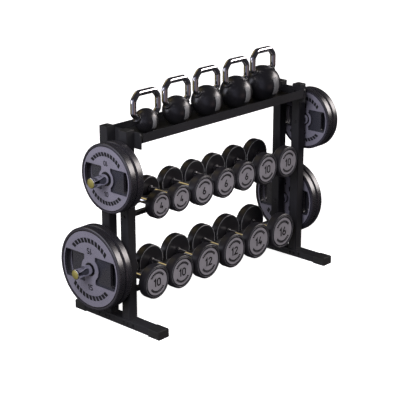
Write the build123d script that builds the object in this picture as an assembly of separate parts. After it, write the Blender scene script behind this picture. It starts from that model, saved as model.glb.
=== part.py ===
from build123d import *

import math
import os

# A three-tier dumbbell rack with its weights on it. Millimetres, +Z up.
# Origin: on the floor, at the centre of the two foot beams. X runs along the rack,
# and the front of the rack faces -Y.

# Foot beams and their end caps
FRAME_CENTRE_X = 628.0
BEAM_WIDTH = 62.0
BEAM_BOTTOM = 3.0
BEAM_TOP = 42.0
BEAM_WALL = 2.5
FOOT_LENGTH = 570.0
CAP_LENGTH = 70.0
CAP_SIDE_WALL = 3.0
CAP_TOP_WALL = 2.0
CAP_END_WALL = 4.0
BEAM_SEAM_Y = 12.0
BEAM_SEAM_WIDTH = 2.0
BEAM_SEAM_DEPTH = 0.8
BEAM_SLOT_Y = 114.0
BEAM_SLOT_WIDTH = 8.0
BEAM_SLOT_HEIGHT = 17.0
BEAM_SLOT_Z = 24.0

# Uprights: one in front and one behind on each foot beam
UPRIGHT_SIZE = 52.0
UPRIGHT_WALL = 2.5
UPRIGHT_CORNER = 5.0
UPRIGHT_Y = 62.5
UPRIGHT_TOP = 952.0
TOP_CAP_THICKNESS = 4.0
TOP_CAP_PLUG = 15.0
SOCKET_CLEARANCE = 0.3
UPRIGHT_INNER_X = FRAME_CENTRE_X - UPRIGHT_SIZE / 2
UPRIGHT_OUTER_X = FRAME_CENTRE_X + UPRIGHT_SIZE / 2

# Kettlebell tray
END_PLATE_THICKNESS = 8.0
END_PLATE_BOTTOM = 869.0
END_PLATE_TOP = 945.0
END_PLATE_CORNER = 16.0
TRAY_FRONT_Y = -127.0
TRAY_BACK_Y = 93.5
TRAY_BOTTOM = 897.0
TRAY_LIP_TOP = 940.0
TRAY_SHEET = 2.5
TRAY_LIP_SHORT = 10.0
TRAY_FLANGE_TOP = 932.0
TRAY_END_X = UPRIGHT_INNER_X - END_PLATE_THICKNESS
MAT_THICKNESS = 6.0
MAT_GAP = 2.0
MAT_TOP = TRAY_BOTTOM + TRAY_SHEET + MAT_THICKNESS

# Dumbbell rails
RAIL_WIDTH = 30.0
RAIL_HEIGHT = 18.0
RAIL_WALL = 2.5
RAIL_END_BLOCK = 25.0
REST_GAP = 0.3

# Dumbbells: round heads, handles along Y and lying across the two rails of a tier
DUMBBELL_HALF_LENGTH = 126.0
HEAD_THICKNESS = 43.0
HEAD_OUTER_ROUND = 7.0
HEAD_INNER_ROUND = 4.0
HEAD_BOSS_RADIUS = 22.0
HEAD_BOSS_HEIGHT = 4.0
HEAD_SKIN = 4.0
GROOVE_DEPTH = 2.0
GROOVE_OUTER = 0.86
GROOVE_INNER = 0.78
HANDLE_RADIUS = 16.0
CORE_THICKNESS = HEAD_THICKNESS - 2 * HEAD_SKIN
HEAD_DIAMETERS = {4: 131.0, 6: 151.0, 10: 166.0, 12: 177.0, 14: 185.0, 16: 191.0}
TIERS = {
    "upper": {
        "handle_z": 574.5,
        "weights": [(-473.0, 4), (-336.0, 4), (-177.0, 6), (-18.0, 6), (137.0, 6), (300.0, 10), (469.0, 10)],
    },
    "lower": {
        "handle_z": 201.0,
        "weights": [(-506.0, 10), (-333.0, 10), (-144.5, 12), (50.5, 12), (240.5, 14), (438.5, 16)],
    },
}

# Weight plates on horns: the small ones on the front uprights, the large ones behind
HORN_RADIUS = 24.5
HORN_WALL = 3.5
HORN_END_X = 851.0
HORN_CAP = 6.0
HORN_CAP_PLUG = 8.0
HORN_BASE_BLOCK = 25.0
STOP_RING_RADIUS = 29.0
PLATE_INNER_X = 678.0
PLATE_THICKNESS = 38.5
PLATE_SPACING = 43.5
PLATE_BORE_RADIUS = 25.5
PLATE_HANG = 0.7
PLATE_SEAT_RADIUS = 32.0
PLATE_SEAT_DEPTH = 6.0
PLATE_SEAT_CHAMFER = 1.5
PLATE_RIM_RISE = 1.0
PLATE_RIM_ROUND = 6.0
PLATE_GROOVE_DEPTH = 2.5
PLATE_RECESS = 12.0
# Outlines on a plate's face, as fractions of its radius
HUB_EDGE = 0.285
NECK_HALF_WIDTH = 0.175
WINDOW_HALF_HEIGHT = 0.34
WINDOW_OUTER = 0.87
SLOT_START = 0.63
SLOT_OUTER = 0.865
SLOT_HALF_HEIGHT = 0.30
FACE_EDGE = 0.905
RIM_INNER = 0.94
HORNS = {
    "upper": {"y": -UPRIGHT_Y, "z": 756.5, "plate_radius": 161.8},
    "lower": {"y": UPRIGHT_Y, "z": 290.5, "plate_radius": 202.0},
}

# Kettlebells on the tray
KETTLEBELL_Y = (TRAY_FRONT_Y + TRAY_BACK_Y) / 2
KETTLEBELLS = [(-457.0, 58.0, 4), (-252.0, 69.5, 6), (-41.0, 76.5, 8), (176.0, 81.8, 12), (383.0, 92.0, 16)]
BASE_CUT = 5.5
BAR_RADIUS = 14.5
LOOP_HALF_WIDTH = 79.5
LOOP_RISE = 93.0
LOOP_SHOULDER_X = 27.0
LOOP_SHOULDER_Z = 31.0
LOOP_LEG_END = 93.0
LOOP_BEND_RADIUS = 29.0
LEG_BEND_RADIUS = 17.0
COLLAR_RADIUS = 20.5
COLLAR_HEIGHT = 5.0

# Badge pads on the kettlebells, as fractions of the ball's radius
PAD_WIDTH = 0.50
PAD_TOP = 0.47
PAD_BOTTOM = -0.53
PAD_CORNER = 0.12
PAD_RISE = 1.2

# Fasteners
BOLT_RADIUS = 4.0
BOLT_HOLE_RADIUS = 4.3
THREAD_RADIUS = 4.1
BOLT_HEAD_RADIUS = 7.5
BOLT_HEAD_HEIGHT = 4.0
NUT_RADIUS = 7.5
NUT_HEIGHT = 6.5
FOOT_BOLT_Z = 22.0
FOOT_BOLT_HALF_SPACING = 13.0
TRAY_SCREW_Z = 921.0
TRAY_SCREW_LENGTH = 20.0

# Densities in kg per cubic millimetre, used to size the hidden steel cores
STEEL_DENSITY = 7.85e-6
RUBBER_DENSITY = 1.20e-6

SIDES = {"left": -1, "right": 1}


def block(low, high):
    """A box between two opposite corners."""
    size = [b - a for a, b in zip(low, high)]
    middle = [(a + b) / 2 for a, b in zip(low, high)]
    return Pos(*middle) * Box(*size)


def round_bar(start, end, radius):
    """A solid round bar between two points."""
    direction = Vector(*end) - Vector(*start)
    return extrude(Plane(origin=start, z_dir=direction) * Circle(radius), direction.length)


def along_x(x_start, x_end, y, z, radius):
    """A round bar that runs along X."""
    return round_bar((x_start, y, z), (x_end, y, z), radius)


def write(name, *solids):
    """Write one node, which may be a group of separate solids."""
    shape = solids[0] if len(solids) == 1 else Compound(children=list(solids))
    export_step(shape, os.path.join("parts", name + ".step"))


def rail_z(tier):
    """Height of the middle of a tier's rails, just under the dumbbell handles."""
    return TIERS[tier]["handle_z"] - HANDLE_RADIUS - REST_GAP - RAIL_HEIGHT / 2


# Frame


def foot_bolt_places():
    """Y positions of the cross bolts that hold the uprights in a foot beam."""
    places = []
    for upright_y in (-UPRIGHT_Y, UPRIGHT_Y):
        for shift in (-FOOT_BOLT_HALF_SPACING, FOOT_BOLT_HALF_SPACING):
            places.append(upright_y + shift)
    return places


def side_slots(x, half):
    """Upright slots through both walls of a beam, one before and one behind the uprights."""
    outline = SlotOverall(BEAM_SLOT_HEIGHT, BEAM_SLOT_WIDTH, rotation=90)
    slots = [Plane.YZ.offset(x - half - 1) * Pos(y, BEAM_SLOT_Z) * outline for y in (-BEAM_SLOT_Y, BEAM_SLOT_Y)]
    return [extrude(slot, 2 * half + 2) for slot in slots]


def foot_beam(side):
    """Rectangular tube with a seam, side slots, two square sockets in its top and cross bolt holes."""
    x = side * FRAME_CENTRE_X
    half = BEAM_WIDTH / 2
    end_y = FOOT_LENGTH / 2 - CAP_END_WALL
    beam = block((x - half, -end_y, BEAM_BOTTOM), (x + half, end_y, BEAM_TOP))
    beam = fillet(beam.edges().filter_by(Axis.Y), 4.0)
    inner = half - BEAM_WALL
    beam -= block((x - inner, -end_y, BEAM_BOTTOM + BEAM_WALL), (x + inner, end_y, BEAM_TOP - BEAM_WALL))
    socket = UPRIGHT_SIZE / 2 + SOCKET_CLEARANCE
    for y in (-UPRIGHT_Y, UPRIGHT_Y):
        middle_z = (BEAM_BOTTOM + BEAM_TOP) / 2
        beam -= block((x - socket, y - socket, middle_z), (x + socket, y + socket, BEAM_TOP + 1))
    for y in foot_bolt_places():
        beam -= along_x(x - half - 1, x + half + 1, y, FOOT_BOLT_Z, BOLT_HOLE_RADIUS)
    beam -= side_slots(x, half)
    seam_low = BEAM_SEAM_Y - BEAM_SEAM_WIDTH / 2
    seam_high = BEAM_SEAM_Y + BEAM_SEAM_WIDTH / 2
    floor_of_seam = half - BEAM_SEAM_DEPTH
    for face in (-1, 1):
        near = x + face * floor_of_seam
        far = x + face * (half + 1)
        beam -= block((min(near, far), seam_low, BEAM_BOTTOM - 1), (max(near, far), seam_high, BEAM_TOP + 1))
    return beam


def foot_end_cap(side, end):
    """Moulded sleeve over the end of a foot beam, which is what touches the floor."""
    x = side * FRAME_CENTRE_X
    outer = BEAM_WIDTH / 2 + CAP_SIDE_WALL
    y_out = end * FOOT_LENGTH / 2
    y_in = y_out - end * CAP_LENGTH
    low = (x - outer, min(y_in, y_out), 0)
    high = (x + outer, max(y_in, y_out), BEAM_TOP + CAP_TOP_WALL)
    cap = block(low, high)
    cap = fillet(cap.edges().filter_by(Axis.Y), 5.0)
    cap = fillet(cap.faces().sort_by(Axis.Y)[-1 if end > 0 else 0].edges(), 2.0)
    y_stop = y_out - end * CAP_END_WALL
    half = BEAM_WIDTH / 2
    hollow_low = (x - half, min(y_in - end, y_stop), BEAM_BOTTOM)
    hollow_high = (x + half, max(y_in - end, y_stop), BEAM_TOP)
    return cap - block(hollow_low, hollow_high)


def horn_place(tier, y):
    """True where a tier's weight horn is fixed to the upright at this Y."""
    return HORNS[tier]["y"] * y > 0


def upright(side, y):
    """Square tube, open at both ends, drilled for its rails, horn, tray and foot."""
    x = side * FRAME_CENTRE_X
    half = UPRIGHT_SIZE / 2
    bottom = BEAM_BOTTOM + BEAM_WALL
    post = block((x - half, y - half, bottom), (x + half, y + half, UPRIGHT_TOP))
    post = fillet(post.edges().filter_by(Axis.Z), UPRIGHT_CORNER)
    inner = half - UPRIGHT_WALL
    post -= block((x - inner, y - inner, bottom), (x + inner, y + inner, UPRIGHT_TOP))
    heights = [rail_z("upper"), rail_z("lower")]
    heights += [HORNS[tier]["z"] for tier in HORNS if horn_place(tier, y)]
    for z in heights:
        post -= along_x(x - half - 1, x + half + 1, y, z, BOLT_HOLE_RADIUS)
    post -= along_x(x, x - side * (half + 1), y, TRAY_SCREW_Z, BOLT_HOLE_RADIUS)
    for shift in (-FOOT_BOLT_HALF_SPACING, FOOT_BOLT_HALF_SPACING):
        post -= along_x(x - half - 1, x + half + 1, y + shift, FOOT_BOLT_Z, BOLT_HOLE_RADIUS)
    return post


def upright_top_cap(side, y):
    """Plastic plug that closes the top of an upright."""
    x = side * FRAME_CENTRE_X
    half = UPRIGHT_SIZE / 2
    top = UPRIGHT_TOP + TOP_CAP_THICKNESS
    cap = block((x - half, y - half, UPRIGHT_TOP), (x + half, y + half, top))
    cap = fillet(cap.edges().filter_by(Axis.Z), UPRIGHT_CORNER)
    cap = fillet(cap.faces().sort_by(Axis.Z)[-1].edges(), 2.0)
    plug = half - UPRIGHT_WALL - SOCKET_CLEARANCE
    return cap + block((x - plug, y - plug, UPRIGHT_TOP - TOP_CAP_PLUG), (x + plug, y + plug, UPRIGHT_TOP))


def rail(tier, y):
    """Rectangular tube between the uprights, with a solid tapped block in each end."""
    z = rail_z(tier)
    half_y = RAIL_WIDTH / 2
    half_z = RAIL_HEIGHT / 2
    end_x = UPRIGHT_INNER_X
    bar = block((-end_x, y - half_y, z - half_z), (end_x, y + half_y, z + half_z))
    bar = fillet(bar.edges().filter_by(Axis.X), 2.5)
    hollow_x = end_x - RAIL_END_BLOCK
    inner_y = half_y - RAIL_WALL
    inner_z = half_z - RAIL_WALL
    bar -= block((-hollow_x, y - inner_y, z - inner_z), (hollow_x, y + inner_y, z + inner_z))
    for side in SIDES.values():
        bar -= along_x(side * hollow_x, side * (end_x + 1), y, z, THREAD_RADIUS)
    return bar


# Kettlebell tray


def tray():
    """Sheet tray as five flat pieces: floor, front and back lips, and a flange at each end."""
    floor_top = TRAY_BOTTOM + TRAY_SHEET
    lip_x = TRAY_END_X - TRAY_LIP_SHORT
    floor = block((-TRAY_END_X, TRAY_FRONT_Y, TRAY_BOTTOM), (TRAY_END_X, TRAY_BACK_Y, floor_top))
    front_lip = block((-lip_x, TRAY_FRONT_Y, floor_top), (lip_x, TRAY_FRONT_Y + TRAY_SHEET, TRAY_LIP_TOP))
    back_lip = block((-lip_x, TRAY_BACK_Y - TRAY_SHEET, floor_top), (lip_x, TRAY_BACK_Y, TRAY_LIP_TOP))
    pieces = [floor, front_lip, back_lip]
    for side in SIDES.values():
        inner_x = side * (TRAY_END_X - TRAY_SHEET)
        outer_x = side * TRAY_END_X
        low = (min(inner_x, outer_x), TRAY_FRONT_Y + TRAY_LIP_SHORT, floor_top)
        high = (max(inner_x, outer_x), TRAY_BACK_Y - TRAY_LIP_SHORT, TRAY_FLANGE_TOP)
        flange = block(low, high)
        for y in (-UPRIGHT_Y, UPRIGHT_Y):
            flange -= along_x(inner_x - side, outer_x + side, y, TRAY_SCREW_Z, BOLT_HOLE_RADIUS)
        pieces.append(flange)
    return pieces


def tray_mat():
    """Rubber mat that lines the tray floor."""
    inset = TRAY_SHEET + MAT_GAP
    bottom = TRAY_BOTTOM + TRAY_SHEET
    low = (-TRAY_END_X + inset, TRAY_FRONT_Y + inset, bottom)
    high = (TRAY_END_X - inset, TRAY_BACK_Y - inset, MAT_TOP)
    mat = block(low, high)
    return fillet(mat.edges().filter_by(Axis.Z), 6.0)


def tray_end_plate(side):
    """Thick side plate with round upper corners, between the tray and the uprights."""
    low = (min(side * TRAY_END_X, side * UPRIGHT_INNER_X), TRAY_FRONT_Y + 1, END_PLATE_BOTTOM)
    high = (max(side * TRAY_END_X, side * UPRIGHT_INNER_X), TRAY_BACK_Y, END_PLATE_TOP)
    plate = block(low, high)
    upper = plate.edges().filter_by(Axis.X).group_by(Axis.Z)[-1]
    plate = fillet(upper, END_PLATE_CORNER)
    for y in (-UPRIGHT_Y, UPRIGHT_Y):
        plate -= along_x(low[0] - 1, high[0] + 1, y, TRAY_SCREW_Z, BOLT_HOLE_RADIUS)
    return plate


# Weight horns and plates


def horn(side, tier):
    """Chromed tube with a solid tapped block in its root."""
    y = HORNS[tier]["y"]
    z = HORNS[tier]["z"]
    root = side * UPRIGHT_OUTER_X
    tube_end = side * (HORN_END_X - HORN_CAP)
    bar = along_x(root, tube_end, y, z, HORN_RADIUS)
    bar -= along_x(root + side * HORN_BASE_BLOCK, tube_end + side, y, z, HORN_RADIUS - HORN_WALL)
    return bar - along_x(root - side, root + side * (HORN_BASE_BLOCK + 1), y, z, THREAD_RADIUS)


def stop_ring(side, tier):
    """Ring round the root of a horn, which keeps the inner plate off the upright."""
    y = HORNS[tier]["y"]
    z = HORNS[tier]["z"]
    root = side * UPRIGHT_OUTER_X
    end = side * (PLATE_INNER_X - REST_GAP)
    return along_x(root, end, y, z, STOP_RING_RADIUS) - along_x(root, end, y, z, HORN_RADIUS)


def horn_cap(side, tier):
    """Domed cap pressed into the open end of a horn."""
    y = HORNS[tier]["y"]
    z = HORNS[tier]["z"]
    start = side * (HORN_END_X - HORN_CAP)
    cap = along_x(start, side * HORN_END_X, y, z, HORN_RADIUS)
    face = cap.faces().sort_by(Axis.X)[-1 if side > 0 else 0]
    cap = fillet(face.edges(), HORN_CAP / 2)
    return cap + along_x(start - side * HORN_CAP_PLUG, start, y, z, HORN_RADIUS - HORN_WALL - REST_GAP)


def plate_profile(radius):
    """Half section of a plate about X: rim, groove, face, and bore with a wider seat at each end."""
    half = PLATE_THICKNESS / 2
    face = half - PLATE_RIM_RISE
    groove = face - PLATE_GROOVE_DEPTH
    side = [
        (face - PLATE_SEAT_DEPTH, PLATE_BORE_RADIUS),
        (face - PLATE_SEAT_DEPTH, PLATE_SEAT_RADIUS),
        (face - PLATE_SEAT_CHAMFER, PLATE_SEAT_RADIUS),
        (face, PLATE_SEAT_RADIUS + PLATE_SEAT_CHAMFER),
        (face, FACE_EDGE * radius),
        (groove, (FACE_EDGE + 0.01) * radius),
        (groove, (RIM_INNER - 0.01) * radius),
        (half, RIM_INNER * radius),
        (half, radius - PLATE_RIM_ROUND),
        (half - 0.3 * PLATE_RIM_ROUND, radius - 0.3 * PLATE_RIM_ROUND),
        (half - PLATE_RIM_ROUND, radius),
    ]
    mirrored = [(-x, y) for x, y in reversed(side)]
    return make_face(Polyline(*side, *mirrored, close=True))


def plate_windows(radius):
    """Two recessed windows beside the hub, with straight upper and lower edges."""
    strip = Rectangle(2 * radius, 2 * WINDOW_HALF_HEIGHT * radius)
    ring = Circle(WINDOW_OUTER * radius) - Circle(HUB_EDGE * radius)
    windows = (strip & ring) - Rectangle(2 * NECK_HALF_WIDTH * radius, 2 * radius)
    return fillet(windows.vertices(), 0.028 * radius)


def plate_slots(radius):
    """Two through slots at the outer ends of the windows, for the fingers."""
    strip = Rectangle(2 * radius, 2 * SLOT_HALF_HEIGHT * radius)
    slots = (strip & Circle(SLOT_OUTER * radius)) - Rectangle(2 * SLOT_START * radius, 2 * radius)
    return fillet(slots.vertices(), 0.05 * radius)


def weight_plate(side, tier, place):
    """Round plate with two grip slots, hanging on its horn by the top of its bore."""
    radius = HORNS[tier]["plate_radius"]
    half = PLATE_THICKNESS / 2
    windows = plate_windows(radius)
    plate = revolve(plate_profile(radius), Axis.X)
    plate -= extrude(Plane.YZ.offset(half - PLATE_RECESS) * windows, PLATE_RECESS + 1)
    plate -= extrude(Plane.YZ.offset(-half - 1) * windows, PLATE_RECESS + 1)
    plate -= extrude(Plane.YZ.offset(-half) * plate_slots(radius), PLATE_THICKNESS)
    middle = PLATE_INNER_X + half + place * PLATE_SPACING
    return Pos(side * middle, HORNS[tier]["y"], HORNS[tier]["z"] - PLATE_HANG) * plate


# Dumbbells


def head_profile(radius):
    """Half section of the back head about Y: round rim, grooved face and handle boss."""
    inner_y = DUMBBELL_HALF_LENGTH - HEAD_THICKNESS
    outer_y = DUMBBELL_HALF_LENGTH
    boss = Polyline(
        (0, inner_y - HEAD_BOSS_HEIGHT),
        (HEAD_BOSS_RADIUS - 2, inner_y - HEAD_BOSS_HEIGHT),
        (HEAD_BOSS_RADIUS, inner_y),
        (radius - HEAD_INNER_ROUND, inner_y),
    )
    inner_round = CenterArc((radius - HEAD_INNER_ROUND, inner_y + HEAD_INNER_ROUND), HEAD_INNER_ROUND, -90, 90)
    rim = Line((radius, inner_y + HEAD_INNER_ROUND), (radius, outer_y - HEAD_OUTER_ROUND))
    outer_round = CenterArc((radius - HEAD_OUTER_ROUND, outer_y - HEAD_OUTER_ROUND), HEAD_OUTER_ROUND, 0, 90)
    face = Polyline(
        (radius - HEAD_OUTER_ROUND, outer_y),
        (GROOVE_OUTER * radius, outer_y),
        (GROOVE_OUTER * radius - 1, outer_y - GROOVE_DEPTH),
        (GROOVE_INNER * radius + 1, outer_y - GROOVE_DEPTH),
        (GROOVE_INNER * radius, outer_y),
        (0, outer_y),
        (0, inner_y - HEAD_BOSS_HEIGHT),
    )
    return make_face(Curve() + [boss, inner_round, rim, outer_round, face])


def core_radius(weight, head_volume):
    """Radius of the steel disc hidden in each head, so that the weight comes right."""
    shaft_length = 2 * (DUMBBELL_HALF_LENGTH - HEAD_SKIN)
    shaft_mass = STEEL_DENSITY * math.pi * HANDLE_RADIUS**2 * shaft_length
    rubber_mass = RUBBER_DENSITY * 2 * head_volume
    core_volume = (weight - shaft_mass - rubber_mass) / (STEEL_DENSITY - RUBBER_DENSITY)
    return math.sqrt(core_volume / (2 * math.pi * CORE_THICKNESS))


def dumbbell(weight):
    """Handle with its steel cores, and the two moulded heads round them."""
    radius = HEAD_DIAMETERS[weight] / 2
    back_head = revolve(head_profile(radius), Axis.Y)
    core = core_radius(weight, back_head.volume)
    core_end = DUMBBELL_HALF_LENGTH - HEAD_SKIN
    core_start = core_end - CORE_THICKNESS
    handle = round_bar((0, -core_end, 0), (0, core_end, 0), HANDLE_RADIUS)
    for end in (-1, 1):
        handle += round_bar((0, end * core_start, 0), (0, end * core_end, 0), core)
    heads = [back_head - handle, mirror(back_head, Plane.XZ) - handle]
    return handle, heads


def write_dumbbells():
    """Write a handle node and a heads node for each dumbbell on the two tiers."""
    for tier, row in TIERS.items():
        for number, (x, weight) in enumerate(row["weights"], start=1):
            handle, heads = dumbbell(weight)
            place = Pos(x, 0, row["handle_z"])
            name = f"{tier}_dumbbell_{number}"
            write(name + "_handle", place * handle)
            write(name + "_heads", *[place * head for head in heads])


# Kettlebells


def leg_reach(radius, leg_end_z, target_radius):
    """How far a 45 degree leg runs in and down before it meets a sphere."""
    total = LOOP_HALF_WIDTH + leg_end_z
    offset = LOOP_HALF_WIDTH - leg_end_z
    return (total - math.sqrt(2 * target_radius**2 - offset**2)) / 2


def kettlebell_handle(radius, weight):
    """Square-shouldered bail whose legs turn in to a steel core inside the ball."""
    top_z = radius + LOOP_RISE - BAR_RADIUS
    shoulder_z = top_z - LOOP_SHOULDER_Z
    shoulder_x = LOOP_HALF_WIDTH - LOOP_SHOULDER_X
    leg_end_z = top_z - LOOP_LEG_END
    bar_length = 2 * (LOOP_HALF_WIDTH + LOOP_LEG_END)
    bar_mass = STEEL_DENSITY * math.pi * BAR_RADIUS**2 * bar_length
    ball_volume = 4 / 3 * math.pi * radius**3
    core_volume = (weight - bar_mass - RUBBER_DENSITY * ball_volume) / (STEEL_DENSITY - RUBBER_DENSITY)
    core = (3 * core_volume / (4 * math.pi)) ** (1 / 3)
    reach = leg_reach(radius, leg_end_z, core) + 4.0
    half = [
        (LOOP_HALF_WIDTH - reach, leg_end_z - reach),
        (LOOP_HALF_WIDTH, leg_end_z),
        (LOOP_HALF_WIDTH, shoulder_z),
        (shoulder_x, top_z),
    ]
    points = [(x, 0, z) for x, z in half] + [(-x, 0, z) for x, z in reversed(half)]
    bends = [LEG_BEND_RADIUS, LOOP_BEND_RADIUS, LOOP_BEND_RADIUS]
    path = FilletPolyline(*points, radius=bends + bends[::-1])
    start = path @ 0
    bar = sweep(Plane(origin=start, z_dir=path % 0) * Circle(BAR_RADIUS), path)
    return bar + Sphere(core), leg_end_z


def kettlebell_body(radius, handle, leg_end_z):
    """Ball with a flat base, a raised badge pad that follows it, and a collar round each leg."""
    ball = Sphere(radius)
    reach = leg_reach(radius, leg_end_z, radius)
    for side in (-1, 1):
        surface = Vector(side * (LOOP_HALF_WIDTH - reach), 0, leg_end_z - reach)
        outward = Vector(side, 0, 1).normalized()
        inner_end = surface - outward * 12.0
        outer_end = surface + outward * COLLAR_HEIGHT
        collar = round_bar(tuple(inner_end), tuple(outer_end), COLLAR_RADIUS)
        ball += collar
    outline = Rectangle(PAD_WIDTH * radius, (PAD_TOP - PAD_BOTTOM) * radius)
    outline = fillet(outline.vertices(), PAD_CORNER * radius)
    pad_plane = Plane(origin=(0, 0, 0), x_dir=(1, 0, 0), z_dir=(0, -1, 0))
    prism = extrude(pad_plane * Pos(0, (PAD_TOP + PAD_BOTTOM) / 2 * radius) * outline, 2 * radius)
    ball += Sphere(radius + PAD_RISE) & prism
    ball -= block((-radius, -radius, -radius - 1), (radius, radius, BASE_CUT - radius))
    return ball - handle


def write_kettlebells():
    """Write a body node and a handle node for each kettlebell on the tray."""
    for number, (x, radius, weight) in enumerate(KETTLEBELLS, start=1):
        handle, leg_end_z = kettlebell_handle(radius, weight)
        body = kettlebell_body(radius, handle, leg_end_z)
        place = Pos(x, KETTLEBELL_Y, MAT_TOP + radius - BASE_CUT)
        name = f"kettlebell_{number}"
        write(name + "_handle", place * handle)
        write(name + "_body", place * body)


# Fasteners


def bolt(head_x, tip_x, y, z, nut_x=None):
    """Button-head bolt along X from under its head, with an optional nut face."""
    inward = 1 if tip_x > head_x else -1
    screw = along_x(head_x, tip_x, y, z, BOLT_RADIUS)
    screw += along_x(head_x - inward * BOLT_HEAD_HEIGHT, head_x, y, z, BOLT_HEAD_RADIUS)
    edge = screw.edges().filter_by(GeomType.CIRCLE).sort_by(Axis.X)
    screw = fillet(edge[0] if inward > 0 else edge[-1], 2.0)
    if nut_x is not None:
        hexagon = Plane(origin=(nut_x, y, z), z_dir=(inward, 0, 0)) * RegularPolygon(NUT_RADIUS, 6)
        screw += extrude(hexagon, NUT_HEIGHT)
    return screw


def frame_bolts():
    """Every bolt of the frame: feet, rails, horns and tray."""
    bolts = []
    half_beam = BEAM_WIDTH / 2
    for side in SIDES.values():
        beam_outer = side * (FRAME_CENTRE_X + half_beam)
        beam_inner = side * (FRAME_CENTRE_X - half_beam)
        for y in foot_bolt_places():
            tip = beam_inner - side * (NUT_HEIGHT + 2)
            bolts.append(bolt(beam_outer, tip, y, FOOT_BOLT_Z, nut_x=beam_inner))
        outer = side * UPRIGHT_OUTER_X
        inner = side * UPRIGHT_INNER_X
        for y in (-UPRIGHT_Y, UPRIGHT_Y):
            for tier in TIERS:
                bolts.append(bolt(outer, inner - side * (RAIL_END_BLOCK - 4), y, rail_z(tier)))
            tray_face = side * (TRAY_END_X - TRAY_SHEET)
            bolts.append(bolt(tray_face, tray_face + side * TRAY_SCREW_LENGTH, y, TRAY_SCREW_Z))
        for tier in HORNS:
            tip = outer + side * (HORN_BASE_BLOCK - 4)
            bolts.append(bolt(inner, tip, HORNS[tier]["y"], HORNS[tier]["z"]))
    return bolts


def write_frame():
    """Write the nodes of the frame, the tray and the horns."""
    uprights = {"front": -UPRIGHT_Y, "rear": UPRIGHT_Y}
    for name, side in SIDES.items():
        write(f"foot_beam_{name}", foot_beam(side))
        write(f"tray_end_plate_{name}", tray_end_plate(side))
        for place, y in uprights.items():
            write(f"upright_{place}_{name}", upright(side, y))
    sides = list(SIDES.values())
    write("foot_end_caps", *[foot_end_cap(side, end) for side in sides for end in (-1, 1)])
    write("upright_top_caps", *[upright_top_cap(side, y) for side in sides for y in uprights.values()])
    write("kettlebell_tray", *tray())
    write("tray_mat", tray_mat())
    for tier in TIERS:
        write(f"{tier}_rails", *[rail(tier, y) for y in uprights.values()])
    horn_pieces = []
    for side in sides:
        for tier in HORNS:
            horn_pieces += [horn(side, tier), stop_ring(side, tier), horn_cap(side, tier)]
    write("weight_horns", *horn_pieces)
    write("frame_bolts", *frame_bolts())


def write_plates():
    """Write one node for each weight plate."""
    for name, side in SIDES.items():
        for tier in HORNS:
            for place, word in enumerate(("inner", "outer")):
                write(f"{tier}_plate_{name}_{word}", weight_plate(side, tier, place))


os.makedirs("parts", exist_ok=True)
write_frame()
write_plates()
write_dumbbells()
write_kettlebells()
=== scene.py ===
import math

import bmesh
import bpy
from mathutils import Matrix, Vector


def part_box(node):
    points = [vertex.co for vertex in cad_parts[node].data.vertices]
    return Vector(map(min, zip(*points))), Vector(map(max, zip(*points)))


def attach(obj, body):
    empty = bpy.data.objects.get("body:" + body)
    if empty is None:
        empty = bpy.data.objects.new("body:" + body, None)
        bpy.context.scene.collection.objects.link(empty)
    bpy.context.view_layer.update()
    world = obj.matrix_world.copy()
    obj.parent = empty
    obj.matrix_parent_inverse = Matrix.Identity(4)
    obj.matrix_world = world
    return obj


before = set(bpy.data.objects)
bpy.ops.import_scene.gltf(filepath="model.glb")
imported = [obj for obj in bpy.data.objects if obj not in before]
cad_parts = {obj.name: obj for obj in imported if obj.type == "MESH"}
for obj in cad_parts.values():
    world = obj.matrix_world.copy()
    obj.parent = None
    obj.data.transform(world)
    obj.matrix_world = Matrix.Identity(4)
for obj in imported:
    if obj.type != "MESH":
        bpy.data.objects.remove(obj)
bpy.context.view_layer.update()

# Looks for a dumbbell rack with its weights on it. Metres, in the CAD frame:
# X along the rack, front towards -Y, floor at Z = 0.

# Camera
CAMERA_PLACE = (-4.1912, -3.7607, 2.3388)
CAMERA_AZIMUTH = -47.62
CAMERA_ELEVATION = 18.49
CAMERA_LENS = 106.7

SIDES = {"left": -1, "right": 1}

# Numbers on the weights, from left to right
DUMBBELL_NUMBERS = {"upper": (4, 4, 6, 6, 6, 10, 10), "lower": (10, 10, 12, 12, 14, 16)}
PLATE_NUMBERS = {"upper": 10, "lower": 15}

# Face of a dumbbell head: rises and bevel in metres, the rest as fractions of the head's radius
DISC_RADIUS = 0.772
DISC_RISE = 0.0006
DISC_BEVEL = 0.0004
LIP_INNER = 0.868
LIP_OUTER = 0.886
LIP_RISE = 0.0009
DISC_NUMBER_HEIGHT = 0.48
DISC_MARKS = {"radius": 0.575, "height": 0.13, "width": 0.082, "lean": 0.03, "half_angle": 52}

# Inner side of a dumbbell head
HANDLE_RADIUS = 0.0161
HEAD_THICKNESS = 0.043
HEAD_BOSS = 0.004
HEAD_INNER_ROUND = 0.004
# Thin ring on the inner edge of a head, light grey as a painted highlight
EDGE_HIGHLIGHT_RADIUS = 0.0015
FERRULE_RADIUS = 0.0195
FERRULE_LENGTH = 0.009
FERRULE_RIM = 0.002
FERRULE_BEVEL = 0.001
FERRULE_NOSE = 0.0012

# Face of a weight plate: drops and depths in metres, the rest as fractions of the plate's radius
PLATE_NUMBER_RADIUS = 0.445
PLATE_NUMBER_HEIGHT = 0.14
PLATE_MARKS = {"radius": 0.70, "height": 0.115, "width": 0.085, "lean": 0.035, "half_angle": 47}
MARK_COUNT = 11
PLATE_FACE_DROP = 0.001
PLATE_RECESS = 0.012
PLATE_SEAT_RADIUS = 0.032
INK_THICKNESS = 0.0005

# Edges of the coloured regions on a plate's face, as fractions of its radius
WINDOW_EDGE = 0.868
FACE_EDGE = 0.905
RING_INNER = 0.938
RING_OUTER = 0.955
TREAD_EDGE = 0.965
REGION_BLEND = 0.004

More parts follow.
